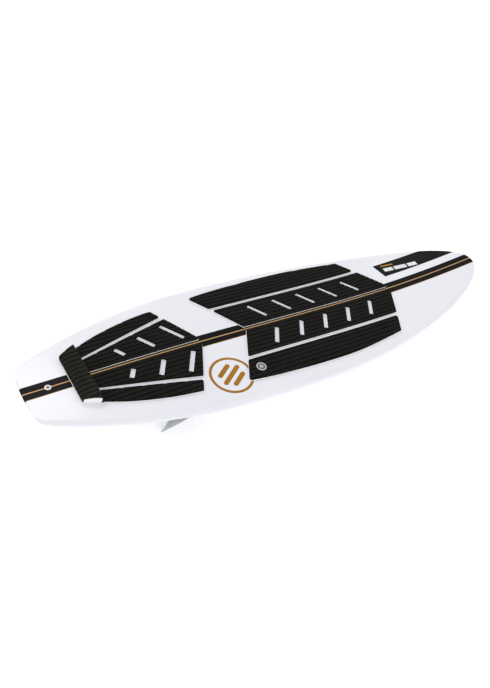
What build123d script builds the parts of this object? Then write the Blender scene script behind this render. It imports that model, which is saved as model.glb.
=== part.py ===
from build123d import *
import math
import os

# A wake surf board, 5 ft 6 in long. X runs from the tail to the nose, Y to port, Z up.
# The drawing height 0 is the deck's centre at half length; the finished part is lifted
# so that the fin tips touch height 0.

# ---- driving dimensions, millimetres ----
LENGTH = 1678.0
HALF = LENGTH / 2
WIDE_X = -20.0            # where the outline is widest
HALF_WIDTH = 251.0
MID_THICK = 50.0
TAIL_THICK = 14.0
NOSE_THICK = 16.0
FOIL_POWER = 2.5          # how late the thickness falls towards the ends
CROWN = 0.0002            # deck drop per square millimetre away from the centre line
END_ROUND = 8.0           # rounding of the tail and nose edges, seen from the side
SKIN = 2.0                # laminate thickness
STRINGER = 6.0            # wood stringer thickness

FILM = 0.3                # printed films and graphics
INLAY = 1.2               # depth of the stripe and pinstripe let into the deck laminate
INLAY_PROUD = 0.1
STRIPE_HALF = 24.0
PINSTRIPE_HALF = 1.7

PAD_BACKING = 2.0         # pale EVA under the pad
PAD_THICK = 6.0           # backing and grooved top together
GROOVE_FLOOR = 4.2        # height of the groove floors above the deck
GROOVE_PITCH = 15.3
GROOVE_WIDTH = 3.4
PAD_CORNER = 6.0
PAD_INNER = 8.0           # inner edge of the inner pads from the centre line
CHEVRON = 0.544           # how far pad ends lie back for each millimetre outwards
SLOT_LEAN = 0.63
SLOT_WIDTH = 13.5

KICK_FRONT = -657.0
KICK_REAR = -708.0
KICK_FRONT_HALF = 106.0
KICK_REAR_HALF = 84.0
KICK_CREST = 22.0         # above the deck at the front edge
KICK_HEEL = 14.0          # above the deck at the rear edge
KICK_BULGE = 3.4
KICK_SHEET = 4.0

FIN_HEIGHT = 86.0
FIN_BASE = 110.0
FIN_THICK = 6.0
SIDE_FIN_X = -374.0       # front of the fin's base
SIDE_FIN_Y = 165.0
SIDE_FIN_CANT = 4.0
CENTRE_FIN_X = -655.0
TAB_LENGTH = 22.0
TAB_DEPTH = 12.0
TAB_STARTS = (-16.0, -72.0)
FIT = 0.2                 # clearance round a tab
FIN_CLEARANCE = 0.35      # between a blade and the bottom
PLUG_LENGTH = 34.0
PLUG_WIDTH = 26.0
PLUG_DEPTH = 15.0
GRUB_DIAMETER = 4.8
GRUB_LENGTH = 7.0
GRUB_LEAN = 35.0

VENT_X = -769.0
VENT_FLANGE = 18.0
VENT_BARREL = 13.0
VENT_DEPTH = 12.0
VENT_HEAD = 9.6
VENT_THREAD = 6.0
O_RING_THICK = 1.2

EMBLEM_X = -288.0
EMBLEM_Y = -149.0
EMBLEM_RADIUS = 66.0
PANEL_BAR_TURN = -6.5
BADGE_X = -192.0
BADGE_Y = -157.0
BADGE_RADIUS = 15.0


# ---- the board's form ----
def half_width(x):
    """The plan outline: a pointed round nose and a squash tail with rounded corners."""
    if x >= WIDE_X:
        s = min((x - WIDE_X) / (HALF - WIDE_X), 1.0)
        return HALF_WIDTH * (1 - s ** 1.8) ** 0.534
    s = min((WIDE_X - x) / (HALF + WIDE_X), 1.0)
    return HALF_WIDTH * (1 - 0.62 * s ** 2.75) * math.sqrt(1 - s ** 140)


def deck_centre(x):
    """The deck's height on the centre line: the tail falls and the nose lifts."""
    t = x / HALF
    return 8.0 * t ** 2 + 56.2 * t ** 3 + 9.5 * t ** 4 - 17.4 * t ** 5


def thickness(x):
    end = NOSE_THICK if x > 0 else TAIL_THICK
    return end + (MID_THICK - end) * (1 - abs(x / HALF) ** FOIL_POWER)


def end_factor(x):
    """How much of its thickness the board keeps, close to its tail and nose edges."""
    from_end = min(HALF - abs(x), END_ROUND)
    return math.sqrt(1 - (1 - from_end / END_ROUND) ** 2)


def apex_height(x):
    """The height of the rail's outermost line."""
    return deck_centre(x) - 0.5 * thickness(x) - 0.02 * half_width(x)


def bottom_height(x):
    return deck_centre(x) - thickness(x)


def hull_section(x, grow, sink):
    """A cross-section at x, with its surfaces moved outwards by grow, then lowered by sink."""
    width = half_width(x)
    shoulder = min(0.55 * thickness(x), 0.6 * width)
    keep = end_factor(x)
    middle = apex_height(x)
    station = x * (HALF + grow - sink) / HALF
    deck_y = width - shoulder
    side = width + grow
    flat_y = max(width - 1.15 * shoulder, 0.3 * width)
    top = middle + (deck_centre(x) - middle) * keep + grow
    edge = top - CROWN * deck_y ** 2 * keep
    floor = middle + (bottom_height(x) - middle) * keep - grow
    slope = 2 * CROWN * deck_y * keep

    def at(y, z):
        return Vector(station, y, z - sink)

    def rail(sign):
        upper = Bezier(
            at(sign * deck_y, edge),
            at(sign * (deck_y + 0.55 * shoulder), edge - 0.55 * shoulder * slope),
            at(sign * side, middle + 0.55 * (edge - middle)),
            at(sign * side, middle),
        )
        lower = Bezier(
            at(sign * side, middle),
            at(sign * side, middle + 0.6 * (floor - middle)),
            at(sign * (flat_y + 0.45 * (side - flat_y)), floor),
            at(sign * flat_y, floor),
        )
        return upper, lower

    deck = Bezier(at(-deck_y, edge), at(0, 2 * top - edge), at(deck_y, edge))
    port_upper, port_lower = rail(1)
    star_upper, star_lower = rail(-1)
    floor_line = Line(at(flat_y, floor), at(-flat_y, floor))
    return Wire([deck, port_upper, port_lower, floor_line, star_lower, star_upper])


# Cross-sections at these distances from each end: close together where the outline turns fast.
END_STEPS = (1.5, 5.0, 11.0, 20.0, 32.0, 50.0, 80.0, 120.0, 170.0, 240.0, 340.0, 460.0, 600.0)


def hull(grow, sink=0.0):
    """The whole board, skinned over its cross-sections and grown by grow all round.

    sink also lowers it and draws in its two ends, as the floor of a channel along the deck.
    """
    stations = [-HALF + step for step in END_STEPS] + [-80.0, 60.0]
    stations += [HALF - step for step in reversed(END_STEPS)]
    return Solid.make_loft([hull_section(x, grow, sink) for x in stations])


def block(x0, x1, y0, y1, z0, z1):
    size = Box(x1 - x0, y1 - y0, z1 - z0)
    return size.moved(Location(((x0 + x1) / 2, (y0 + y1) / 2, (z0 + z1) / 2)))


def below_rail():
    """Everything under the rail's outermost line, where the two shells join."""
    steps = [-HALF + LENGTH * k / 16 for k in range(17)]
    top = Spline(*[(x, apex_height(x)) for x in steps])
    start, end = top @ 0, top @ 1
    beyond = HALF + 20
    sides = Polyline((end.X, end.Y), (beyond, end.Y), (beyond, -120), (-beyond, -120),
                     (-beyond, start.Y), (start.X, start.Y))
    face = make_face([top, sides])
    return extrude(Plane.XZ * face, 300, both=True)


def mirrored(shape):
    return shape.mirror(Plane.XZ)


def prism(outline_face, low=-24.0, high=90.0):
    return extrude(outline_face.moved(Location((0, 0, low))), high - low)


# ---- traction pads ----
def end_line(x_inner, y):
    """A point on a slanted pad end that meets the inner edge at x_inner."""
    return (x_inner - CHEVRON * (y - PAD_INNER), y)


def slot(x_inner, y_inner, y_outer):
    """A drain slot through a pad: a bar with nearly square ends, leaning back outwards."""
    start = Vector(x_inner, y_inner)
    end = Vector(x_inner - SLOT_LEAN * (y_outer - y_inner), y_outer)
    middle = (start + end) * 0.5
    length = (end - start).length
    turn = math.degrees(math.atan2(end.Y - start.Y, end.X - start.X))
    bar = RectangleRounded(length, SLOT_WIDTH, 1.5)
    return Pos(middle.X, middle.Y) * Rot(0, 0, turn) * bar


def rounded(face, radius=PAD_CORNER):
    return fillet(face.vertices(), radius)


def front_outer_outline():
    rear_out = end_line(-153.0, 188.0)
    front_out = end_line(440.0, 185.0)
    rail_side = Spline(rear_out, (-160.0, 198.0), (0.0, 206.0), (160.0, 205.0), front_out)
    rest = Polyline(front_out, end_line(440.0, 124.0), end_line(-153.0, 120.0), rear_out)
    return rounded(make_face([rail_side, rest]))


def front_inner_outline():
    corners = Polyline(end_line(-153.0, PAD_INNER), end_line(-153.0, 107.0),
                       end_line(440.0, 110.0), end_line(440.0, PAD_INNER), close=True)
    face = rounded(make_face(corners), 4.0)
    for k in range(5):
        face -= slot(-53.0 + 95.5 * k, 29.5, 88.0)
    return face


def rear_outer_outline():
    front_out = end_line(-302.0, 173.0)
    rail_side = Spline((KICK_FRONT, 104.0), (-580.0, 134.0), (-480.0, 160.0), front_out)
    rest = Polyline(front_out, end_line(-304.0, 139.0), (KICK_FRONT, 64.0), (KICK_FRONT, 104.0))
    return rounded(make_face([rail_side, rest]), 5.0)


def rear_inner_outline():
    corners = Polyline((KICK_FRONT, PAD_INNER), (KICK_FRONT, 54.0), end_line(-304.0, 125.0),
                       end_line(-308.0, PAD_INNER), close=True)
    face = rounded(make_face(corners), 4.0)
    for x_inner, y_outer in ((-537.0, 59.0), (-444.0, 80.0), (-349.0, 100.0)):
        face -= slot(x_inner, 29.0, y_outer)
    return face


def groove_strips():
    """Long bars, one over each groove, parallel to the stringer."""
    strips = []
    for k in range(14):
        y = PAD_INNER + GROOVE_PITCH * (k + 0.75)
        strips.append(block(-800, 500, y - GROOVE_WIDTH / 2, y + GROOVE_WIDTH / 2, -60, 90))
    return Compound(strips)


# ---- tail kick ----
def kick_outline():
    return make_face(Polyline((KICK_FRONT, KICK_FRONT_HALF), (KICK_REAR, KICK_REAR_HALF),
                              (KICK_REAR, -KICK_REAR_HALF), (KICK_FRONT, -KICK_FRONT_HALF), close=True))


def kick_profile(lowered):
    """The side profile: a steep front, a crest, and a back that falls to the heel."""
    crest = deck_centre(KICK_FRONT) + KICK_CREST - lowered
    heel = deck_centre(KICK_REAR) + KICK_HEEL - lowered
    middle = ((KICK_FRONT + KICK_REAR) / 2, (crest + heel) / 2 + KICK_BULGE)
    back = ThreePointArc((KICK_FRONT, crest), middle, (KICK_REAR, heel))
    rest = Polyline((KICK_REAR, heel), (KICK_REAR, -30), (KICK_FRONT, -30), (KICK_FRONT, crest))
    return extrude(Plane.XZ * make_face([back, rest]), 150, both=True)


# ---- fins and their plugs, drawn with the base on height 0, the tip below ----
def fin_section(u):
    """A lens-shaped section at the fraction u of the fin's height."""
    chord = FIN_BASE * (1 - max(u, 0) ** 2.4) ** 0.62
    trailing = -FIN_BASE + 16 * u * (1 - u) - 26 * u * abs(u)
    leading = trailing + chord
    half_thick = FIN_THICK / 2 * (1 - 0.75 * u)
    middle = leading - 0.4 * (leading - trailing)
    height = -FIN_HEIGHT * u
    port = ThreePointArc((leading, 0, height), (middle, half_thick, height), (trailing, 0, height))
    star = ThreePointArc((trailing, 0, height), (middle, -half_thick, height), (leading, 0, height))
    return Wire([port, star])


def fin(place, clear_hull):
    """The blade, trimmed to sit just clear of the bottom, with its two tabs."""
    sections = [fin_section(u) for u in (-0.06, 0.0, 0.2, 0.4, 0.6, 0.75, 0.86, 0.94, 0.98, 0.997)]
    whole = place * Solid.make_loft(sections) - clear_hull
    for start in TAB_STARTS:
        thick = FIN_THICK / 2 - 0.4
        whole = whole + place * block(start - TAB_LENGTH, start, -thick, thick, -3.0, TAB_DEPTH)
    return whole


def plug_box(start, grow=0.0):
    middle = start - TAB_LENGTH / 2
    shape = RectangleRounded(PLUG_LENGTH + 2 * grow, PLUG_WIDTH + 2 * grow, 8.0 + grow)
    return extrude(Pos(middle, 4.0, -20) * shape, 20 + PLUG_DEPTH + grow)


def grub_place(start):
    """The grub screw's axis: it leans in from beside the slot towards the tab."""
    return Pos(start - TAB_LENGTH / 2, 10.2, 0.6) * Rot(GRUB_LEAN, 0, 0)


def grub_screw(start):
    body = Cylinder(GRUB_DIAMETER / 2, GRUB_LENGTH, align=(Align.CENTER, Align.CENTER, Align.MIN))
    socket = extrude(RegularPolygon(1.25, 6), 3.0)
    return grub_place(start) * (body - socket)


def plug(start):
    tab = block(start - TAB_LENGTH - FIT, start + FIT, -FIN_THICK / 2 + 0.4 - FIT,
                FIN_THICK / 2 - 0.4 + FIT, -30, TAB_DEPTH + 0.6)
    thread = Cylinder(GRUB_DIAMETER / 2, GRUB_LENGTH + 20)
    thread = Pos(0, 0, GRUB_LENGTH / 2 - 10) * thread
    return plug_box(start) - tab - grub_place(start) * thread


def fin_places():
    """Each fin's name, place and side: 1 leans it out to port, -1 to starboard."""
    lift = bottom_height(SIDE_FIN_X - FIN_BASE / 2)
    side_port = Pos(SIDE_FIN_X, SIDE_FIN_Y, lift) * Rot(SIDE_FIN_CANT, 0, 0)
    centre_lift = bottom_height(CENTRE_FIN_X - FIN_BASE / 2)
    tilt = math.degrees(math.atan2(bottom_height(CENTRE_FIN_X) - bottom_height(CENTRE_FIN_X - FIN_BASE),
                                   FIN_BASE))
    centre = Pos(CENTRE_FIN_X, 0, centre_lift) * Rot(0, -tilt, 0)
    return [("port", side_port, False), ("starboard", side_port, True), ("centre", centre, False)]


# ---- vent plug ----
def vent_place():
    return Pos(VENT_X, 0, deck_centre(VENT_X))


def tube(outer, inner, low, high):
    ring = Circle(outer / 2) - Circle(inner / 2) if inner else Circle(outer / 2)
    return extrude(Pos(0, 0, low) * ring, high - low)


def vent_plug():
    """A flanged barrel; the flange's underside follows the deck and the inlay's channel."""
    flange = tube(VENT_FLANGE, 0, -3.0, 1.0)
    flange = fillet(flange.edges().group_by(Axis.Z)[-1], 0.5)
    flange = vent_place() * flange - hull(INLAY_PROUD, INLAY)
    barrel = tube(VENT_BARREL, 0, -VENT_DEPTH, 0.4)
    bore = tube(VENT_THREAD + 0.1, 0, -VENT_DEPTH + 1.5, 2)
    counterbore = tube(VENT_HEAD + 0.5, 0, -2.4, 2)
    air_hole = tube(2.0, 0, -20, 0)
    return flange + vent_place() * barrel - vent_place() * (bore + counterbore + air_hole)


def vent_screw():
    head = tube(VENT_HEAD, 0, -2.4 + O_RING_THICK, 0.9)
    head = fillet(head.edges().group_by(Axis.Z)[-1], 0.6)
    thread = tube(VENT_THREAD, 0, -8.4, -2.4 + O_RING_THICK)
    socket = extrude(Pos(0, 0, -1.4) * RegularPolygon(2.3, 6), 4)
    return head + thread - socket


def vent_o_ring():
    return tube(VENT_HEAD - 0.3, VENT_THREAD + 0.3, -2.4, -2.4 + O_RING_THICK)


# ---- graphics ----
def emblem_outline():
    """A plain ring round three slanting bars."""
    ring = Circle(EMBLEM_RADIUS) - Circle(EMBLEM_RADIUS - 8)
    bars = Sketch()
    for offset, length in ((-25, 60), (0, 88), (25, 60)):
        bars += Rot(0, 0, 35) * Pos(0, offset) * SlotOverall(length, 14)
    return Pos(EMBLEM_X, EMBLEM_Y) * (ring + bars)


def nose_panel_outline():
    """The dark band on the port side of the nose, which runs out over the rail."""
    return make_face(Polyline((474.0, 55.0), (468.0, 120.0), (830.0, 120.0), (830.0, 55.0), close=True))


def panel_bar(x, y, length, width):
    return Pos(x, y) * Rot(0, 0, PANEL_BAR_TURN) * RectangleRounded(length, width, 2.0)


def pale_bars_outline():
    """Plain bars in place of lettering."""
    bars = Sketch()
    for x, y, length in ((512.0, 83.5, 38.0), (563.0, 77.5, 52.0), (614.0, 71.5, 38.0)):
        bars += panel_bar(x, y, length, 18.0)
    return bars


def gold_bar_outline():
    return panel_bar(521.0, 105.0, 52.0, 6.0)


def solids_of(shape):
    """The shape as one compound of its solids, largest first, without stray slivers."""
    found = sorted(shape.solids(), key=lambda solid: -solid.volume)
    return Compound([solid for solid in found if solid.volume > 1.0])


def write(name, shape, lift):
    whole = solids_of(shape).moved(Location((0, 0, lift)))
    export_step(whole, f"parts/{name}.step")


def make_shells(board, core_space, pockets, stripe_space):
    """The deck and bottom laminates, two halves of foam and the stringer between them."""
    under = below_rail()
    skin = board - core_space
    slab = block(-900, 900, -STRINGER / 2, STRINGER / 2, -150, 150)
    filling = core_space - pockets
    port_side = block(-900, 900, STRINGER / 2, 400, -150, 150)
    pieces = {
        "deck_shell": skin - under - pockets - stripe_space,
        "bottom_shell": (skin & under) - pockets,
        "stringer": filling & slab,
        "foam_core_port": filling & port_side,
        "foam_core_starboard": filling & mirrored(port_side),
    }
    return pieces


def make_pads(board, backing_hull, groove_hull, pad_hull, stripe_space):
    backing_layer = backing_hull - board - stripe_space
    top_layer = (pad_hull - backing_hull) - (groove_strips() - groove_hull)
    outlines = {
        "front_outer": front_outer_outline(),
        "front_inner": front_inner_outline(),
        "rear_outer": rear_outer_outline(),
        "rear_inner": rear_inner_outline(),
    }
    pieces = {}
    for name, outline in outlines.items():
        space = prism(outline)
        backing = backing_layer & space
        top = top_layer & space
        pieces[f"{name}_pad_backing_port"] = backing
        pieces[f"{name}_pad_port"] = top
        pieces[f"{name}_pad_backing_starboard"] = mirrored(backing)
        pieces[f"{name}_pad_starboard"] = mirrored(top)
    return pieces


def make_kick(board, stripe_space):
    """A pale foam block with a grooved sheet over it."""
    space = prism(kick_outline())
    base = (kick_profile(KICK_SHEET) & space) - board - stripe_space
    sheet = (kick_profile(0) - kick_profile(KICK_SHEET)) & space
    strips = groove_strips()
    depth = KICK_SHEET - 2.2
    cuts = (strips & kick_profile(-1)) - kick_profile(depth)
    return {"kick_block": base, "kick_sheet": sheet - cuts - mirrored(cuts)}


def centre_band(half):
    return block(-900, 900, -half, half, -60, 120)


def make_stripe_space():
    """The shallow channel along the deck that the stripe and the pinstripe fill."""
    strip = (hull(INLAY_PROUD) & centre_band(STRIPE_HALF)) - below_rail()
    return strip - (hull(INLAY_PROUD, INLAY) & centre_band(STRIPE_HALF + 2))


def make_graphics(board, pad_hull, stripe_space):
    above = hull(FILM) - board - below_rail()
    vent_hole = vent_place() * tube(VENT_FLANGE, 0, -5, 5)
    stripe = stripe_space - vent_hole
    panel_space = prism(nose_panel_outline(), -40)
    pale_bars = prism(pale_bars_outline(), -40)
    gold_bar = prism(gold_bar_outline(), -40)
    panel = above & panel_space
    badge = (Pos(BADGE_X, BADGE_Y, 0) * tube(2 * BADGE_RADIUS, 0, -10, 40)) & Pos(0, 0, 1.0) * pad_hull
    return {
        "centre_stripe": stripe - centre_band(PINSTRIPE_HALF),
        "pinstripe": stripe & centre_band(PINSTRIPE_HALF),
        "nose_panel": panel - pale_bars - gold_bar,
        "nose_panel_bars": panel & pale_bars,
        "nose_panel_gold_bar": panel & gold_bar,
        "deck_emblem": above & (prism(emblem_outline()) - mirrored(prism(front_outer_outline()))),
        "pad_badge": badge - pad_hull,
    }


def main():
    os.makedirs("parts", exist_ok=True)
    board = hull(0.0)
    pad_hull = hull(PAD_THICK)
    clear_hull = hull(FIN_CLEARANCE)
    fins = {}
    plugs = {}
    pockets = []
    grubs = []
    for name, place, is_starboard in fin_places():
        turn = mirrored if is_starboard else (lambda shape: shape)
        fins[f"{name}_fin"] = turn(fin(place, clear_hull))
        pair = Compound([place * plug(start) for start in TAB_STARTS])
        plugs[f"{name}_fin_plugs"] = turn(pair & board)
        pockets += [turn(place * plug_box(start)) for start in TAB_STARTS]
        grubs += [turn(place * grub_screw(start)) for start in TAB_STARTS]
    pockets.append(vent_place() * tube(VENT_BARREL, 0, -VENT_DEPTH, 5))
    stripe_space = make_stripe_space()
    pieces = make_shells(board, hull(-SKIN), Compound(pockets), stripe_space)
    pieces |= make_pads(board, hull(PAD_BACKING), hull(GROOVE_FLOOR), pad_hull, stripe_space)
    pieces |= make_kick(board, stripe_space)
    pieces |= make_graphics(board, pad_hull, stripe_space)
    pieces |= fins | plugs
    pieces["grub_screws"] = Compound(grubs)
    pieces["vent_plug"] = vent_plug()
    pieces["vent_screw"] = vent_place() * vent_screw()
    pieces["vent_o_ring"] = vent_place() * vent_o_ring()
    lift = -min(shape.bounding_box().min.Z for shape in fins.values())
    print("lifted by", round(lift, 4), "vent seat at", round(deck_centre(VENT_X) + lift, 4))
    for name, shape in pieces.items():
        print(name, len(shape.solids()), round(shape.volume / 1000, 2), "cm3")
        write(name, shape, lift)


if __name__ == "__main__":
    main()
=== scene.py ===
# %% [markdown]
# # A wake surf board, finished for a studio picture
#
# The board's shells, fins, plugs and films come from the CAD frame, and keep their exact
# shape. This notebook gives each of them the finish of the real thing, and makes the foam
# traction pads again in fine mesh, because the look of a pad is in its softened edges, its
# grooves and the pale second layer under it, which a plain solid doesn't have.
#
# Lengths in the shader values are metres. The outlines of the pads are in millimetres, as
# a maker would draw them. X runs to the nose, Y to port, Z up.

# %% Load the frame
import math

import bpy
import numpy as np
from mathutils import Matrix, Vector
from mathutils.geometry import delaunay_2d_cdt


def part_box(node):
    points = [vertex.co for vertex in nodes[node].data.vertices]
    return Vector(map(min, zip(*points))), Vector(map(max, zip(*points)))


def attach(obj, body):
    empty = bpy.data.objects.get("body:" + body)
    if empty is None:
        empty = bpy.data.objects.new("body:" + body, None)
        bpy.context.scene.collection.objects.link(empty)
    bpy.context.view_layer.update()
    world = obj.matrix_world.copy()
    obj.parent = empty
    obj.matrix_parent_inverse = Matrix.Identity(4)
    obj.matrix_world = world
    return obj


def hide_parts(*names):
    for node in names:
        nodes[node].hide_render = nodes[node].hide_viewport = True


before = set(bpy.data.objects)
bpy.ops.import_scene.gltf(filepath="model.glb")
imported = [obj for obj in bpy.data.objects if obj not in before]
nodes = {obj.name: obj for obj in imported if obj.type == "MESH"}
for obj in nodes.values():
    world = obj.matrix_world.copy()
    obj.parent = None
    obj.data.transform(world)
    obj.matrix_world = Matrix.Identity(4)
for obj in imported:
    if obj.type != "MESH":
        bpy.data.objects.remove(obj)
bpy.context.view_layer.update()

MM = 0.001

# %% [markdown]
# ## Colours and shader helpers
#
# A colour is written as the sRGB hex value that a painter would pick, and one function
# turns it into the linear numbers that the shader works in. One small function adds a
# node, sets it and links it, so that each material below reads as a short recipe. Values
# that are the same all over a surface are set on the shader's own sockets.

# %% Colour and node helpers
def linear(hex_colour):
    """An sRGB hex colour as linear red, green, blue and full alpha."""
    channels = [int(hex_colour[i:i + 2], 16) / 255 for i in (1, 3, 5)]
    return [c / 12.92 if c <= 0.04045 else ((c + 0.055) / 1.055) ** 2.4
            for c in channels] + [1.0]


def join(tree, value, socket):
    """Links a node's first usable output, or one socket, to a socket, or sets its value."""
    if isinstance(value, bpy.types.Node):
        value = next(output for output in value.outputs if output.enabled)
    if isinstance(value, bpy.types.NodeSocket):
        tree.links.new(value, socket)
    else:
        socket.default_value = value


def add(tree, kind, settings=None, **links):
    """A shader node: settings are its properties, links its inputs by name or _number.

    A colour ramp's stops are a setting too: pairs of a position and a hex colour.
    """
    node = tree.nodes.new("ShaderNode" + kind)
    for name, value in (settings or {}).items():
        if name != "stops":
            setattr(node, name, value)
            continue
        elements = node.color_ramp.elements
        while len(elements) < len(value):
            elements.new(0.5)
        for element, (position, colour) in zip(elements, value):
            element.position = position
            element.color = linear(colour)
    for name, value in links.items():
        key = int(name[1:]) if name[1:].isdigit() else name.replace("_", " ")
        join(tree, value, node.inputs[key])
    return node


def new_material(name, **shader):
    """A material with a Principled shader; shader gives the values the same all over."""
    material = bpy.data.materials.new(name)
    material.use_nodes = True
    tree = material.node_tree
    surface = tree.nodes["Principled BSDF"]
    finish(tree, surface, **shader)
    place = add(tree, "TexCoord").outputs["Object"]
    return material, tree, surface, place


def finish(tree, surface, **inputs):
    """Sets or links sockets of the surface shader."""
    for name, value in inputs.items():
        join(tree, value, surface.inputs[name.replace("_", " ")])


def cover(piece, material):
    """Puts one material on every slot of a piece."""
    if not piece.data.materials:
        piece.data.materials.append(material)
    for slot in piece.material_slots:
        slot.material = material


print("painter's black", [round(c, 4) for c in linear("#141414")[:3]])

# %% [markdown]
# ## The shells: polyester gloss coat over glass cloth
#
# A board like this is foam wrapped in glass cloth and resin, sprayed with a white
# polyester gloss coat and polished. The eye gets a bright, slightly cool white and a soft
# clear reflection, and, close to, a faint orange peel and a haze of polishing marks. The
# cloth itself can't be seen through the white.

# %% Gloss coat material
def gloss_coat(name, colour, shade):
    material, tree, surface, place = new_material(
        name, Roughness=0.2, IOR=1.52, Coat_Weight=0.35, Coat_Roughness=0.08, Coat_IOR=1.5
    )
    cloud = add(tree, "TexNoise", Vector=place, Scale=1 / (300 * MM), Detail=2.0)
    haze = add(tree, "TexNoise", Vector=place, Scale=1 / (26 * MM), Detail=4.0)
    peel = add(tree, "TexNoise", Vector=place, Scale=1 / (9 * MM), Detail=1.0)
    finish(tree, surface,
           Base_Color=add(tree, "ValToRGB", {"stops": [(0.3, shade), (0.7, colour)]}, Fac=cloud),
           Roughness=add(tree, "MapRange", Value=haze, To_Min=0.14, To_Max=0.26),
           Normal=add(tree, "Bump", Height=peel, Distance=0.03 * MM))
    return material


cover(nodes["deck_shell"], gloss_coat("polyester gloss coat, deck", "#E4E5EB", "#DFE0E7"))
cover(nodes["bottom_shell"], gloss_coat("polyester gloss coat, bottom", "#E2E3E9", "#DDDEE5"))
print("gloss coats on the two shells")

# %% [markdown]
# ## The core: bead foam and a wood stringer
#
# Inside are two halves of expanded polystyrene, cut from a block, so the beads show as
# rounded cells 3 mm across, and between them a sawn stringer of paulownia, a pale light
# wood whose growth rings run along the board. They are closed in, and only an exploded
# view shows them, but they are finished like the rest.

# %% Foam and wood materials
BEAD = 3 * MM
bead_foam, tree, surface, place = new_material("expanded polystyrene, cut", Roughness=0.75,
                                               IOR=1.5)
cell = add(tree, "TexVoronoi", {"feature": "DISTANCE_TO_EDGE"}, Vector=place, Scale=1 / BEAD)
bead_colours = [(0.0, "#D9D9D4"), (0.25, "#F4F4F0")]
finish(tree, surface, Base_Color=add(tree, "ValToRGB", {"stops": bead_colours}, Fac=cell),
       Normal=add(tree, "Bump", Height=cell, Distance=0.25 * MM))

paulownia, tree, surface, place = new_material("paulownia, sawn", Roughness=0.6, IOR=1.5)
along = add(tree, "Mapping", Vector=place, Scale=(0.04, 1.0, 1.0))
rings = add(tree, "TexNoise", Vector=along, Scale=1 / (5 * MM), Detail=5.0)
wood_colours = [(0.3, "#A98558"), (0.55, "#C9A874"), (0.75, "#D8BD8E")]
finish(tree, surface, Base_Color=add(tree, "ValToRGB", {"stops": wood_colours}, Fac=rings),
       Normal=add(tree, "Bump", Height=rings, Distance=0.1 * MM))
for name in ("foam_core_port", "foam_core_starboard"):
    cover(nodes[name], bead_foam)
cover(nodes["stringer"], paulownia)
print("core finished")

# %% [markdown]
# ## Traction pads: two layers of EVA foam
#
# Each pad is routed from a sheet of closed-cell EVA foam: a black top, 4 mm thick, glued
# on a pale layer of 2 mm, which shows as a fine line round the pad and round its drain
# slots. Grooves run the length of the board, a little over 15 mm apart, and their floors
# stop short of the pale layer.
#
# The pads could be the CAD solids with a bump for the grooves, but a bump has no depth at
# the pad's ends. Here the outline is cut into triangles along every groove's edges, by
# constrained Delaunay triangulation, each point is then lifted to the deck and the
# groove's own height, and the sheet is closed below.

# %% [markdown]
# ### The deck's form
#
# The pads have to follow the deck, so its curve is written as a formula: a polynomial along
# the board and a gentle crown across it. The one height that this leaves open is measured,
# by a ray that is dropped on the stringer. The laminate lies above that point.

# %% The deck's form, measured from the frame
HALF = 839.0              # half the length that the deck's curve is drawn for
DECK_CURVE = (8.0, 56.2, 9.5, -17.4)
CROWN = 0.0002            # drop per square millimetre away from the centre line
SKIN = 2.0                # laminate over the stringer


def rise(x):
    """How far the deck's centre line is above its height at half length."""
    t = x / HALF
    a, b, c, d = DECK_CURVE
    return a * t ** 2 + b * t ** 3 + c * t ** 4 + d * t ** 5


above = Vector((0.0, 0.0, 1.0))
stringer_top = nodes["stringer"].ray_cast(above, Vector((0, 0, -1)))[1]
deck_middle = stringer_top.z / MM + SKIN


def deck(x, y):
    return deck_middle + rise(x) - CROWN * y * y


print("deck at half length", round(deck_middle, 2), "mm above the fin tips")

# %% [markdown]
# ### Drawing an outline
#
# A pad's rail side is a smooth curve through a few points, its corners are small arcs and
# its drain slots are short bars. Curve objects could draw them, but plain lists of points
# can be moved outwards for the pale layer and cut into triangles in the next step.

# %% Outline helpers: splines, rounded corners, slots and insets
PAD_INNER = 8.0           # the inner pads' edge from the centre line
CHEVRON = 0.544           # how far pad ends lie back for each millimetre outwards
SLOT_LEAN = 0.63
SLOT_WIDTH = 13.5
SLOT_CORNER = 1.5
LEAST_CORNER = math.radians(15)


def smooth_run(points, steps=6):
    """A Catmull-Rom curve through the points, for a pad's rail side."""
    ends = [points[0]] + list(points) + [points[-1]]
    run = []
    for a, b, c, d in zip(ends, ends[1:], ends[2:], ends[3:]):
        a, b, c, d = (np.array(p) for p in (a, b, c, d))
        for k in range(steps):
            t = k / steps
            run.append(tuple(0.5 * (2 * b + (c - a) * t + (2 * a - 5 * b + 4 * c - d) * t ** 2
                                    + (3 * b - a - 3 * c + d) * t ** 3)))
    return run + [tuple(points[-1])]


def rounded(points, radius, pieces=5):
    """The loop with each corner replaced by an arc; smaller turns are part of a curve."""
    loop = []
    for k, point in enumerate(points):
        here = Vector(point)
        back = (Vector(points[k - 1]) - here).normalized()
        ahead = (Vector(points[(k + 1) % len(points)]) - here).normalized()
        turn = math.pi - back.angle(ahead)
        if turn < LEAST_CORNER:
            loop.append(tuple(here))
            continue
        cut = radius * math.tan(turn / 2)
        centre = here + (back + ahead).normalized() * radius / math.cos(turn / 2)
        spoke = here + back * cut - centre
        way = 1 if back.cross(ahead) < 0 else -1
        for step in range(pieces + 1):
            loop.append(tuple(centre + Matrix.Rotation(way * turn * step / pieces, 2) @ spoke))
    return loop


def slot_loop(x_inner, y_inner, y_outer):
    """A drain slot: a bar with nearly square ends that leans back outwards."""
    start = Vector((x_inner, y_inner))
    end = Vector((x_inner - SLOT_LEAN * (y_outer - y_inner), y_outer))
    along = (end - start).normalized()
    across = Vector((-along.y, along.x)) * SLOT_WIDTH / 2
    return rounded([start - across, end - across, end + across, start + across], SLOT_CORNER)


def signed_area(loop):
    return sum(a[0] * b[1] - b[0] * a[1] for a, b in zip(loop, loop[1:] + loop[:1])) / 2


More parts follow.
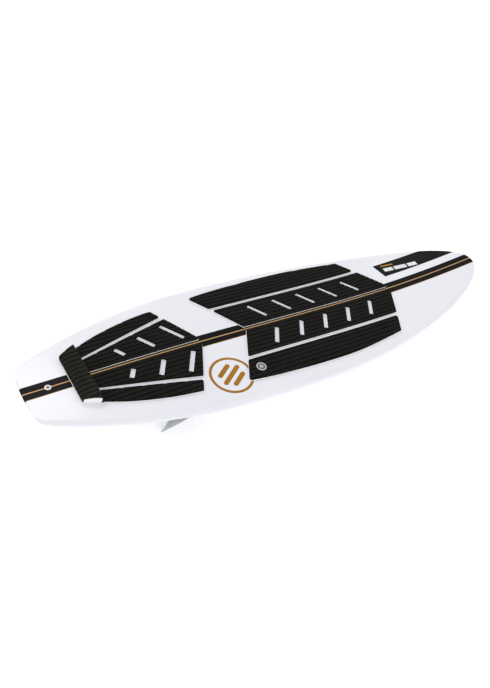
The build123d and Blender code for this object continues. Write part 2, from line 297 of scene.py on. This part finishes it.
def offset(loop, distance):
    """The loop moved outwards by distance, on a mitre at each point."""
    sign = 1 if signed_area(loop) > 0 else -1
    moved = []
    for k, point in enumerate(loop):
        before = (Vector(point) - Vector(loop[k - 1])).normalized()
        after = (Vector(loop[(k + 1) % len(loop)]) - Vector(point)).normalized()
        out = Vector((before.y + after.y, -before.x - after.x)) * sign
        out = out / max(out.length_squared / 2, 0.5)
        moved.append(tuple(Vector(point) + out * distance))
    return moved


def end_point(x_inner, y):
    """A point on a slanted pad end that meets the inner edge at x_inner."""
    return (x_inner - CHEVRON * (y - PAD_INNER), y)


print("a slot has", len(slot_loop(0, 29.5, 88)), "points")

# %% [markdown]
# ### Cutting a sheet into triangles
#
# Constrained Delaunay triangulation takes points, and edges that it has to keep, and fills
# the rest with triangles. The edges are the outline, lines just inside it for the rounded
# edge, rows across the pad so that it can bend, and both sides of every groove.

# %% Cutting a sheet into triangles
MARGIN = 5.0              # rows and grooves run this far past the outline
MERGE = 1e-5


def inside(points, loop):
    """Which points lie inside the loop, by the even-odd rule."""
    found = np.zeros(len(points), bool)
    for (xa, ya), (xb, yb) in zip(loop, loop[1:] + loop[:1]):
        between = (ya > points[:, 1]) != (yb > points[:, 1])
        crossing = xa + (points[:, 1] - ya) * (xb - xa) / ((yb - ya) or 1e-9)
        found ^= between & (points[:, 0] < crossing)
    return found


def distance_to(points, loops):
    """The distance from each point to the nearest edge of any loop."""
    least = np.full(len(points), 1e9)
    for loop in loops:
        for a, b in zip(loop, loop[1:] + loop[:1]):
            a, run = np.array(a), np.array(b) - np.array(a)
            share = np.clip((points - a) @ run / max(run @ run, 1e-12), 0, 1)
            least = np.minimum(least, np.linalg.norm(points - a - share[:, None] * run, axis=1))
    return least


def cut_sheet(loops, inset_by, rows, grooves):
    """Plan triangles of a sheet, with edges along each loop, inset, row and groove line."""
    points, edges = [], []

    def line(run, closed):
        first = len(points)
        points.extend(Vector(p) for p in run)
        edges.extend((k, k + 1) for k in range(first, len(points) - 1))
        if closed:
            edges.append((len(points) - 1, first))

    outline = np.array(loops[0])
    (x0, y0), (x1, y1) = outline.min(axis=0) - MARGIN, outline.max(axis=0) + MARGIN
    for k, loop in enumerate(loops):
        line(loop, True)
        for by in inset_by:
            line(offset(loop, by if k else -by), True)
    for x in rows:
        if x0 < x < x1:
            line([(x, y0), (x, y1)], False)
    for y in grooves:
        if y0 < y < y1:
            line([(x0, y), (x1, y)], False)
    corners, _, faces = delaunay_2d_cdt(points, edges, [], 0, MERGE, False)[:3]
    corners, faces = np.array(corners), np.array(faces)
    middle = corners[faces].mean(axis=1)
    keep = inside(middle, loops[0])
    for loop in loops[1:]:
        keep &= ~inside(middle, loop)
    faces = faces[keep]
    used, faces = np.unique(faces, return_inverse=True)
    return corners[used], faces.reshape(-1, 3)


slot = slot_loop(0, 29.5, 88)
print("a plain slot is cut into", len(cut_sheet([slot], (), (), ())[1]), "triangles")

# %% [markdown]
# ### Closing a sheet into foam
#
# Each plan point is lifted to the sheet's face, less the rounded edge or the groove there,
# and repeated at the bottom. Walls join the two wherever a triangle has no neighbour. The
# grooves narrow towards their floors, as a tapered cutter leaves them.

# %% Closing a sheet into foam
GROOVE_PITCH = 15.3
GROOVE_TOP = 1.7          # half width at the pad's face
GROOVE_FLOOR = 1.15       # half width at the floor
GROOVE_DEPTH = 1.8
EDGE_STEPS = (0.12, 0.4, 1.0)      # lines round the edge, as shares of its radius
SHARP_ANGLE = math.radians(32)


def groove_centres(reach):
    """The grooves' places, counted from a pad's inner edge."""
    return [PAD_INNER + GROOVE_PITCH * (k + 0.75) for k in range(int(reach / GROOVE_PITCH))]


def groove_lines(centres):
    """Both edges of each groove's face and floor."""
    sides = (-GROOVE_TOP, -GROOVE_FLOOR, GROOVE_FLOOR, GROOVE_TOP)
    return [centre + side for centre in centres for side in sides]


def groove_depth(y, centres):
    if not centres:
        return np.zeros(len(y))
    away = np.min([np.abs(y - c) for c in centres], axis=0)
    return GROOVE_DEPTH * np.clip((GROOVE_TOP - away) / (GROOVE_TOP - GROOVE_FLOOR), 0, 1)


def foam_piece(name, points, faces):
    """A mesh from points in millimetres, smooth but for its real edges."""
    mesh = bpy.data.meshes.new(name)
    mesh.from_pydata([(x * MM, y * MM, z * MM) for x, y, z in points], [], faces)
    mesh.shade_smooth()
    mesh.set_sharp_from_angle(angle=SHARP_ANGLE)
    piece = bpy.data.objects.new(name, mesh)
    bpy.context.scene.collection.objects.link(piece)
    return piece


def foam_sheet(name, loops, place, low, high, edge, rows=(), centres=(), mirror=False):
    """A closed foam sheet between two heights; place sets a plan point and a height in space."""
    insets = [step * edge for step in EDGE_STEPS]
    plan, faces = cut_sheet(loops, insets, rows, groove_lines(centres))
    from_edge = np.clip(distance_to(plan, loops), 0, edge)
    drop = edge - np.sqrt(np.maximum(edge ** 2 - (edge - from_edge) ** 2, 0))
    top = high - np.maximum(drop, groove_depth(plan[:, 1], list(centres)))
    count = len(plan)
    points = [place(x, y, h) for (x, y), h in zip(plan, top)]
    points += [place(x, y, low) for x, y in plan]
    triangles = [tuple(f) for f in faces.tolist()]
    pairs = {(a, b) for f in triangles for a, b in zip(f, f[1:] + f[:1])}
    walls = [(b, a, a + count, b + count) for a, b in pairs if (b, a) not in pairs]
    under = [(c + count, b + count, a + count) for a, b, c in triangles]
    shell = triangles + walls + under
    if mirror:
        points = [(x, -y, z) for x, y, z in points]
        shell = [face[::-1] for face in shell]
    return foam_piece(name, points, shell)


def finish_foam(piece, cad_node, material):
    """Gives a foam piece its material, sets it on the board's body and hides the CAD part it
    stands for.
    """
    cover(piece, material)
    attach(piece, "board")
    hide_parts(cad_node)


print("grooves are", 2 * GROOVE_TOP, "mm wide and", GROOVE_DEPTH, "mm deep")

# %% [markdown]
# ### The foam's finish
#
# EVA foam is skived from a block, so its face is a fine open texture of cut cells, matt,
# with hardly any reflection and a faint soft sheen. Real cells are 0.2 mm across, too fine
# to show from here, so they are drawn at 1 mm. The black is warm and a little uneven. The
# routed grooves, and a thin band at their edges, are painted near black: a painted shade
# that deepens the grooves' own shadow.

# %% Foam materials
# painted shade: full within SHADE_FULL pitches of a groove's middle, none past SHADE_NONE
SHADE_FULL, SHADE_NONE = 0.06, 0.14   # from a groove's middle, in pitches
FIRST_GROOVE = PAD_INNER + 0.75 * GROOVE_PITCH


def painted_groove_shade(tree, place, first):
    """Painted shade: 1 along the grooves, 0 between them; first is one groove's distance from y =
    0.
    """
    across = add(tree, "SeparateXYZ", Vector=place).outputs["Y"]
    off_centre = add(tree, "Math", {"operation": "ABSOLUTE"}, _0=across)
    past_first = add(tree, "Math", {"operation": "SUBTRACT"}, _0=off_centre, _1=first * MM)
    pitches = add(tree, "Math", {"operation": "DIVIDE"}, _0=past_first, _1=GROOVE_PITCH * MM)
    away = add(tree, "Math", {"operation": "PINGPONG"}, _0=pitches, _1=0.5)
    return add(tree, "MapRange", Value=away, From_Min=SHADE_FULL, From_Max=SHADE_NONE,
               To_Min=1.0, To_Max=0.0)


def cut_foam(name, dark, light, sheen, first_groove=None):
    material, tree, surface, place = new_material(
        name, Roughness=0.9, IOR=1.45, Specular_IOR_Level=0.05,
        Sheen_Weight=sheen, Sheen_Roughness=0.6
    )
    patch = add(tree, "TexNoise", Vector=place, Scale=1 / (45 * MM), Detail=3.0)
    cells = add(tree, "TexVoronoi", Vector=place, Scale=1 / (1.0 * MM))
    patch_part = add(tree, "Math", {"operation": "MULTIPLY"}, _0=patch, _1=0.7)
    cell_part = add(tree, "Math", {"operation": "MULTIPLY"}, _0=cells, _1=0.3)
    mix = add(tree, "Math", {"operation": "ADD"}, _0=patch_part, _1=cell_part)
    colour = add(tree, "ValToRGB", {"stops": [(0.25, dark), (0.7, light)]}, Fac=mix)
    # painted shade: the grooves are mixed towards near black #050505
    if first_groove is not None:
        shade = painted_groove_shade(tree, place, first_groove)
        colour = add(tree, "Mix", {"data_type": "RGBA"}, Factor=shade,
                     _6=colour, _7=linear("#050505"))
    finish(tree, surface, Base_Color=colour,
           Normal=add(tree, "Bump", Height=cells, Distance=0.12 * MM))
    return material


# the pads' and the kick's black foam get the painted groove shade; the pale foam doesn't
black_foam = cut_foam("EVA foam, skived, black", "#131210", "#1D1C1A", 0.02, FIRST_GROOVE)
# the kick's sheet is drawn a lighter black than the pads' foam
kick_foam = cut_foam("EVA foam, skived, black, lighter", "#1C1B18", "#272620", 0.03, 0.0)
pale_foam = cut_foam("EVA foam, skived, pale", "#F8F8FB", "#FFFFFF", 0.0)
print("foam materials made")

# %% [markdown]
# ### The pads' outlines
#
# There are four pads a side, two in front and two behind. Their ends form a chevron that
# opens to the tail, and the drain slots lean the same way.

# %% Pad outlines, port side, in millimetres
KICK_FRONT = -657.0       # the rear pads end at the kick's front
SLOT_STEP = 95.5


def front_outer():
    rear_out, front_out = end_point(-153, 188), end_point(440, 185)
    rail_side = smooth_run([rear_out, (-160, 198), (0, 206), (160, 205), front_out])
    return [rounded(rail_side + [end_point(440, 124), end_point(-153, 120)], 6)]


def front_inner():
    corners = [end_point(-153, PAD_INNER), end_point(-153, 107), end_point(440, 110),
               end_point(440, PAD_INNER)]
    return [rounded(corners, 4)] + [slot_loop(-53 + SLOT_STEP * k, 29.5, 88)
                                    for k in range(5)]


def rear_outer():
    front_out = end_point(-302, 173)
    rail_side = smooth_run([(KICK_FRONT, 104), (-580, 134), (-480, 160), front_out])
    return [rounded(rail_side + [end_point(-304, 139), (KICK_FRONT, 64)], 5)]


def rear_inner():
    corners = [(KICK_FRONT, PAD_INNER), (KICK_FRONT, 54), end_point(-304, 125),
               end_point(-308, PAD_INNER)]
    slots = [slot_loop(-537, 29, 59), slot_loop(-444, 29, 80), slot_loop(-349, 29, 100)]
    return [rounded(corners, 4)] + slots


print("outlines of four pads, the rear ones ending at x =", KICK_FRONT)

# %% [markdown]
# ### The eight pads and their pale layer
#
# The port pads are drawn, and the starboard ones are their mirror image. The pale layer is
# 0.9 mm wider all round, as the router's bevel leaves it.

# %% Make the pads
BACKING = 2.0
PAD_TOP = 6.0
PROUD = 0.9               # the pale layer past the black one
TOP_EDGE, BACKING_EDGE = 0.8, 0.25   # radius of the upper edges
PAD_REACH = 210
pad_rows = [15.0 * k for k in range(-44, 31)]


def on_deck(x, y, height):
    return (x, y, deck(x, y) + height)


pad_shapes = {"front_outer": front_outer(), "front_inner": front_inner(),
              "rear_outer": rear_outer(), "rear_inner": rear_inner()}
for shape, loops in pad_shapes.items():
    wide = [offset(loop, -PROUD if k else PROUD) for k, loop in enumerate(loops)]
    for side in ("port", "starboard"):
        flip = side == "starboard"
        top = foam_sheet(f"{shape}_foam_{side}", loops, on_deck, BACKING, PAD_TOP,
                         TOP_EDGE, pad_rows, groove_centres(PAD_REACH), flip)
        finish_foam(top, f"{shape}_pad_{side}", black_foam)
        backing = foam_sheet(f"{shape}_pale_layer_{side}", wide, on_deck, 0.0, BACKING,
                             BACKING_EDGE, pad_rows, (), flip)
        finish_foam(backing, f"{shape}_pad_backing_{side}", pale_foam)
    print(shape, "top", len(top.data.vertices), "points, pale layer", len(backing.data.vertices))

# %% [markdown]
# ## The tail kick
#
# Behind the pads stands a wedge for the rear foot: a pale foam block with a grooved black
# sheet folded over it, down its front and its heel. The sheet is cut flat like the pads,
# in its own length and width, and then laid on the wedge's profile. So its grooves run up
# the front, over the crest and down the back. The block shows at the two ends, and as a
# fine pale line under the heel.

# %% The kick's profile
KICK_REAR = -708.0
KICK_FRONT_HALF = 106.0
KICK_REAR_HALF = 84.0
KICK_CREST = 22.0
KICK_HEEL = 14.0
KICK_BULGE = 3.4
KICK_SHEET = 4.0
KICK_ROUND = 5.0
KICK_STEPS = 12
FOOT_CLEAR = 2.5          # the profile's arcs keep this far from its feet
BASE = 2.0                # thickness of the block's foot


def rounded_run(points, radius):
    """An open run with arcs at its real corners, kept to the points between its two ends."""
    first, last = points[0], points[-1]
    middle = [p for p in rounded(points, radius) if first[1] < p[1] and p[1] > last[1]
              and min(math.dist(p, first), math.dist(p, last)) > FOOT_CLEAR]
    return [first] + middle + [last]


def kick_profile(inward):
    """Points from the front's foot over the crest to the heel's foot, inward of the face."""
    front, rear = KICK_FRONT, KICK_REAR
    crest = rise(front) + KICK_CREST
    heel = rise(rear) + KICK_HEEL
    path = [(front, rise(front) + BASE)]
    for k in range(KICK_STEPS + 1):
        share = k / KICK_STEPS
        bulge = 4 * KICK_BULGE * share * (1 - share)
        path.append((front + (rear - front) * share, crest + (heel - crest) * share + bulge))
    path.append((rear, rise(rear) + BASE))
    path = [Vector(p) for p in rounded_run([tuple(Vector(p)) for p in path], KICK_ROUND)]
    moved = []
    for k, point in enumerate(path):
        along = (path[min(k + 1, len(path) - 1)] - path[max(k - 1, 0)]).normalized()
        moved.append(point + Vector((-along.y, along.x)) * inward)
    return moved


face_path = kick_profile(0.0)
lengths = [0.0]
for a, b in zip(face_path, face_path[1:]):
    lengths.append(lengths[-1] + (b - a).length)
print("kick sheet", round(lengths[-1], 1), "mm from foot to foot")

# %% The kick's sheet and block
def half_at(x):
    share = (KICK_FRONT - x) / (KICK_FRONT - KICK_REAR)
    return KICK_FRONT_HALF + (KICK_REAR_HALF - KICK_FRONT_HALF) * min(max(share, 0), 1)


def on_kick(s, y, height):
    """A place on the wedge: s along the profile, y across, height off the face."""
    k = min(max(int(np.searchsorted(lengths, s)), 1), len(lengths) - 1)
    a, b = face_path[k - 1], face_path[k]
    share = (s - lengths[k - 1]) / (lengths[k] - lengths[k - 1])
    ahead = face_path[min(k + 1, len(face_path) - 1)] - a
    behind = b - face_path[max(k - 2, 0)]
    along = (behind.normalized() * (1 - share) + ahead.normalized() * share).normalized()
    point = a + (b - a) * share - Vector((-along.y, along.x)) * height
    return (point.x, y, deck_middle + point.y)


ends = [half_at(p.x) for p in face_path]
sheet_loop = [(s, -e) for s, e in zip(lengths, ends)]
sheet_loop += [(s, e) for s, e in zip(lengths, ends)][::-1]
kick_grooves = [GROOVE_PITCH * k for k in range(-6, 7)]
sheet = foam_sheet("kick_foam_sheet", [sheet_loop], on_kick, -KICK_SHEET, 0.0, TOP_EDGE,
                   lengths[1:-1], kick_grooves)
finish_foam(sheet, "kick_sheet", kick_foam)

FOOT_HEIGHT = BASE + 1    # the wedge's sides start here
inner = kick_profile(KICK_SHEET)
front_in, rear_in = KICK_FRONT - KICK_SHEET, KICK_REAR + KICK_SHEET
body = [p for p in inner if rear_in < p.x < front_in and p.y > rise(p.x) + FOOT_HEIGHT]
section = [(KICK_FRONT, 0.0), (KICK_FRONT, BASE), (front_in, BASE)]
section += [(p.x, p.y - rise(p.x)) for p in body]
section += [(rear_in, BASE), (KICK_REAR - PROUD, BASE), (KICK_REAR - PROUD, 0.0)]
columns = [k / 8 for k in range(-8, 9)]
block_points = [on_deck(x, share * (half_at(x) + (PROUD if h <= BASE else 0)), h)
                for share in columns for x, h in section]
size = len(section)
block_faces = []
for c in range(len(columns) - 1):
    for k in range(size):
        n = (k + 1) % size
        block_faces.append((c * size + k, c * size + n, (c + 1) * size + n, (c + 1) * size + k))
block_faces.append(tuple(range(size))[::-1])
block_faces.append(tuple(range(len(block_points) - size, len(block_points))))
block = foam_piece("kick_foam_block", block_points, block_faces)
finish_foam(block, "kick_block", pale_foam)
print("kick sheet", len(sheet.data.vertices), "points, block", len(block_points))

# %% [markdown]
# ## The stripe and the printed graphics
#
# The stripe is black lacquer in a shallow channel of the deck, with a fine gold line along
# its middle and one along its starboard edge. The panel at the nose and its plain bars are
# printed film under clear coat. Gold here is a pearl pigment in lacquer, not metal, so it
# stays a warm tan that sparkles only a little; the pigment flakes are drawn at 0.8 mm.

# %% Lacquer and film materials
EDGE_LINE = 22.2 * MM     # the gold edge line starts this far to starboard


def lacquer(name, dark, light, roughness=0.25, shine=0.06):
    material, tree, surface, place = new_material(
        name, Roughness=roughness, IOR=1.5, Specular_IOR_Level=shine
    )
    tone = add(tree, "TexNoise", Vector=place, Scale=1 / (60 * MM), Detail=3.0)
    flakes = add(tree, "TexNoise", Vector=place, Scale=1 / (0.8 * MM), Detail=2.0)
    peel = add(tree, "TexNoise", Vector=place, Scale=1 / (9 * MM), Detail=1.0)
    tone_part = add(tree, "Math", {"operation": "MULTIPLY"}, _0=tone, _1=0.6)
    flake_part = add(tree, "Math", {"operation": "MULTIPLY"}, _0=flakes, _1=0.4)
    mix = add(tree, "Math", {"operation": "ADD"}, _0=tone_part, _1=flake_part)
    colour = add(tree, "ValToRGB", {"stops": [(0.3, dark), (0.7, light)]}, Fac=mix)
    finish(tree, surface, Base_Color=colour,
           Normal=add(tree, "Bump", Height=peel, Distance=0.02 * MM))
    return material, tree, surface, place, colour


stripe_black, tree, surface, place, colour = lacquer("black lacquer with a gold edge line",
                                                     "#0C0C0C", "#121212")
across = add(tree, "SeparateXYZ", Vector=place).outputs["Y"]
is_edge = add(tree, "Math", {"operation": "LESS_THAN"}, _0=across, _1=-EDGE_LINE)
finish(tree, surface, Base_Color=add(tree, "Mix", {"data_type": "RGBA"}, Factor=is_edge,
                                     _6=colour, _7=linear("#C19A66")))
cover(nodes["centre_stripe"], stripe_black)

prints = {
    "pinstripe": lacquer("gold pearl lacquer", "#BC9462", "#CDA574"),
    "nose_panel": lacquer("black film under clear coat", "#0F0F0E", "#161514"),
    "nose_panel_bars": lacquer("pale film under clear coat", "#D8D8DA", "#E6E6E8"),
    "nose_panel_gold_bar": lacquer("gold film under clear coat", "#A97B34", "#B98A42"),
    "deck_emblem": lacquer("gold print under clear coat", "#96671F", "#A67429", 0.3),
}
for name, made in prints.items():
    cover(nodes[name], made[0])
print("stripe, panel and emblem finished")

# %% [markdown]
# ## The round badge on the pad
#
# A thin anodised aluminium disc is glued on the pad, turned so that rings are left bright
# between dark ones. Turning leaves fine concentric lines, 0.5 mm apart here, and the
# pattern comes from the distance to the disc's middle, which the frame gives.

# %% Badge material
BADGE_RADIUS = 15 * MM
TURNING = 0.5 * MM
low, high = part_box("pad_badge")
badge_centre = ((low[0] + high[0]) / 2, (low[1] + high[1]) / 2, 0.0)
badge, tree, surface, place = new_material("anodised aluminium, turned", Metallic=0.6,
                                           Roughness=0.4)
flat = add(tree, "VectorMath", {"operation": "MULTIPLY"}, _0=place, _1=(1.0, 1.0, 0.0))
radius = add(tree, "VectorMath", {"operation": "DISTANCE"}, _0=flat, _1=badge_centre)
share = add(tree, "Math", {"operation": "DIVIDE"}, _0=radius, _1=BADGE_RADIUS)
bands = [(0.0, "#C9C9CB"), (0.3, "#1D1C1B"), (0.45, "#BEBEC0"), (0.56, "#1D1C1B"),
         (0.78, "#C9C9CB")]
ringed = add(tree, "ValToRGB", {"stops": bands}, Fac=share)
ringed.color_ramp.interpolation = "CONSTANT"
turns = add(tree, "Math", {"operation": "MULTIPLY"}, _0=radius, _1=math.tau / TURNING)
lines = add(tree, "Math", {"operation": "SINE"}, _0=turns)
finish(tree, surface, Base_Color=ringed,
       Normal=add(tree, "Bump", Height=lines, Distance=0.02 * MM))
cover(nodes["pad_badge"], badge)
print("badge centre", [round(v, 3) for v in badge_centre])

# %% [markdown]
# ## Fins: glass laminate over a honeycomb core
#
# The blade is clear glass laminate over a dark paper honeycomb, so the tip is a plain
# translucent grey and the cells show darker towards the base. Three cosine waves at 120
# degrees to each other add up to a hexagonal net, with cells 5 mm across.

# %% Fin material
FIN_CELL = 5 * MM
CLEAR_BELOW, DARK_ABOVE = 8 * MM, 62 * MM


def honeycomb(tree, place, cell):
    """A hexagonal net from three waves in the XZ plane: high at the middle of each cell."""
    total = None
    for degrees in (0, 120, 240):
        way = (math.cos(math.radians(degrees)), 0.0, math.sin(math.radians(degrees)))
        along = add(tree, "VectorMath", {"operation": "DOT_PRODUCT"}, _0=place, _1=way)
        phase = add(tree, "Math", {"operation": "MULTIPLY"}, _0=along,
                    _1=2 * math.tau / (math.sqrt(3) * cell))
        wave = add(tree, "Math", {"operation": "COSINE"}, _0=phase)
        if total is None:
            total = wave
        else:
            total = add(tree, "Math", {"operation": "ADD"}, _0=total, _1=wave)
    return total


fin_glass, tree, surface, place = new_material(
    "glass laminate over honeycomb", Roughness=0.22, IOR=1.52, Coat_Weight=0.4,
    Coat_Roughness=0.05
)
cells = add(tree, "MapRange", Value=honeycomb(tree, place, FIN_CELL), From_Min=-1.5,
            From_Max=1.6)
up = add(tree, "SeparateXYZ", Vector=place).outputs["Z"]
to_base = add(tree, "MapRange", Value=up, From_Min=CLEAR_BELOW, From_Max=DARK_ABOVE)
net = add(tree, "ValToRGB", {"stops": [(0.0, "#26282A"), (0.5, "#3C3F42"), (0.9, "#6C7175")]},
          Fac=cells)
cloud = add(tree, "TexNoise", Vector=place, Scale=1 / (12 * MM), Detail=3.0)
tip = add(tree, "ValToRGB", {"stops": [(0.3, "#A4A8AC"), (0.7, "#B4B8BC")]}, Fac=cloud)
finish(tree, surface,
       Base_Color=add(tree, "Mix", {"data_type": "RGBA"}, Factor=to_base, _6=tip, _7=net),
       Normal=add(tree, "Bump", Height=cells, Distance=0.04 * MM))
for name in ("port_fin", "starboard_fin", "centre_fin"):
    cover(nodes[name], fin_glass)
print("fins finished")

# %% [markdown]
# ## Plugs, screws and the vent
#
# The fin plugs are moulded glass-filled nylon, black with a fine spark-eroded grain. The
# grub screws are turned stainless steel. The vent is a cream moulded acetal flange with a
# grey screw in it and a nitrile ring under its head: it lets the foam breathe when the
# board goes from a cold lake to a hot car.

# %% Moulded plastic, steel and rubber
def moulded(name, colours, roughness, grain, depth, **shader):
    """A moulded or turned part; grain and depth are in millimetres."""
    material, tree, surface, place = new_material(name, Roughness=roughness, **shader)
    dark, light = colours
    cloud = add(tree, "TexNoise", Vector=place, Scale=1 / (20 * MM), Detail=2.0)
    texture = add(tree, "TexNoise", Vector=place, Scale=1 / (grain * MM), Detail=3.0)
    finish(tree, surface,
           Base_Color=add(tree, "ValToRGB", {"stops": [(0.3, dark), (0.7, light)]}, Fac=cloud),
           Roughness=add(tree, "MapRange", Value=texture, To_Min=roughness - 0.06,
                         To_Max=roughness + 0.08),
           Normal=add(tree, "Bump", Height=texture, Distance=depth * MM))
    return material


nylon = moulded("glass-filled nylon, moulded", ("#131314", "#1B1B1C"), 0.5, 0.6, 0.05, IOR=1.53)
fittings = {
    "port_fin_plugs": nylon,
    "starboard_fin_plugs": nylon,
    "centre_fin_plugs": nylon,
    "grub_screws": moulded("stainless steel, turned", ("#A9A9A6", "#BEBEBB"), 0.3, 0.3, 0.01,
                           Metallic=1.0),
    "vent_plug": moulded("acetal, moulded, cream", ("#E2DFD4", "#EEEBE2"), 0.3, 0.8, 0.02,
                         IOR=1.48),
    "vent_screw": moulded("acetal, moulded, grey", ("#7C766A", "#8C8678"), 0.35, 0.8, 0.02,
                          IOR=1.48),
    "vent_o_ring": moulded("nitrile rubber", ("#141414", "#1A1A1A"), 0.6, 0.5, 0.03, IOR=1.52),
}
for name, material in fittings.items():
    cover(nodes[name], material)
print("fittings finished")

# %% [markdown]
# ## Studio
#
# A table of white acrylic, lit a little from below as for a shop picture, and soft boxes.
# Even light from all round keeps the white board bright, and the glowing table takes the
# weight out of the shadow. The board stands on its fin tips. The view transform is the
# plain one, so that white stays white.

# %% Floor and lights
REACH = 30.0              # metres from the middle to the table's edge
floor_mesh = bpy.data.meshes.new("studio_floor")
floor_corners = [(-REACH, -REACH, 0), (REACH, -REACH, 0), (REACH, REACH, 0), (-REACH, REACH, 0)]
floor_mesh.from_pydata(floor_corners, [], [(0, 1, 2, 3)])
floor = bpy.data.objects.new("studio_floor", floor_mesh)
bpy.context.scene.collection.objects.link(floor)
table, tree, surface, place = new_material(
    "white acrylic, lit from below", Roughness=0.8, Specular_IOR_Level=0.1,
    Emission_Color=(1.0, 1.0, 1.0, 1.0), Emission_Strength=0.3
)
cloud = add(tree, "TexNoise", Vector=place, Scale=1 / 2.0, Detail=2.0)
table_colours = [(0.3, "#FAFAFB"), (0.7, "#FDFDFD")]
finish(tree, surface, Base_Color=add(tree, "ValToRGB", {"stops": table_colours}, Fac=cloud))
cover(floor, table)


def soft_box(name, place, target, size, power):
    light = bpy.data.lights.new(name, "AREA")
    light.shape = "RECTANGLE"
    light.size, light.size_y = size
    light.energy = power
    lamp = bpy.data.objects.new(name, light)
    lamp.location = place
    lamp.rotation_mode = "QUATERNION"
    lamp.rotation_quaternion = (Vector(target) - Vector(place)).to_track_quat("-Z", "Y")
    bpy.context.scene.collection.objects.link(lamp)


soft_box("key_box", (-1.2, 2.6, 3.4), (0, 0, 0), (3.0, 2.0), 40)
soft_box("fill_box", (0.8, -3.2, 2.6), (0, 0, 0), (3.0, 2.0), 14)
air = bpy.data.worlds.new("studio_air")
air.use_nodes = True
air.node_tree.nodes["Background"].inputs["Color"].default_value = linear("#FFFFFF")
air.node_tree.nodes["Background"].inputs["Strength"].default_value = 0.9
bpy.context.scene.world = air
bpy.context.scene.view_settings.view_transform = "Standard"
print("studio lit")

# %% [markdown]
# ## Camera
#
# The camera stands behind the starboard side of the tail and looks down along the board.

# %% Camera
yaw, pitch, roll = 0.8458, 0.7289, 0.2554
camera_data = bpy.data.cameras.new("view_camera")
camera_data.sensor_width = 36.0
camera_data.lens = 35.92
camera_data.clip_start = 0.05
camera = bpy.data.objects.new("view_camera", camera_data)
camera.location = (-1.20175, -1.20221, 1.36577 + deck_middle * MM)
look = Vector((math.cos(pitch) * math.cos(yaw), math.cos(pitch) * math.sin(yaw), -math.sin(pitch)))
side = look.cross(Vector((0, 0, 1))).normalized()
up = side.cross(look)
right = side * math.cos(roll) + up * math.sin(roll)
top = up * math.cos(roll) - side * math.sin(roll)
camera.rotation_mode = "QUATERNION"
camera.rotation_quaternion = Matrix((right, top, -look)).transposed().to_quaternion()
bpy.context.scene.collection.objects.link(camera)
bpy.context.scene.camera = camera
print("camera", [round(v, 3) for v in camera.location])
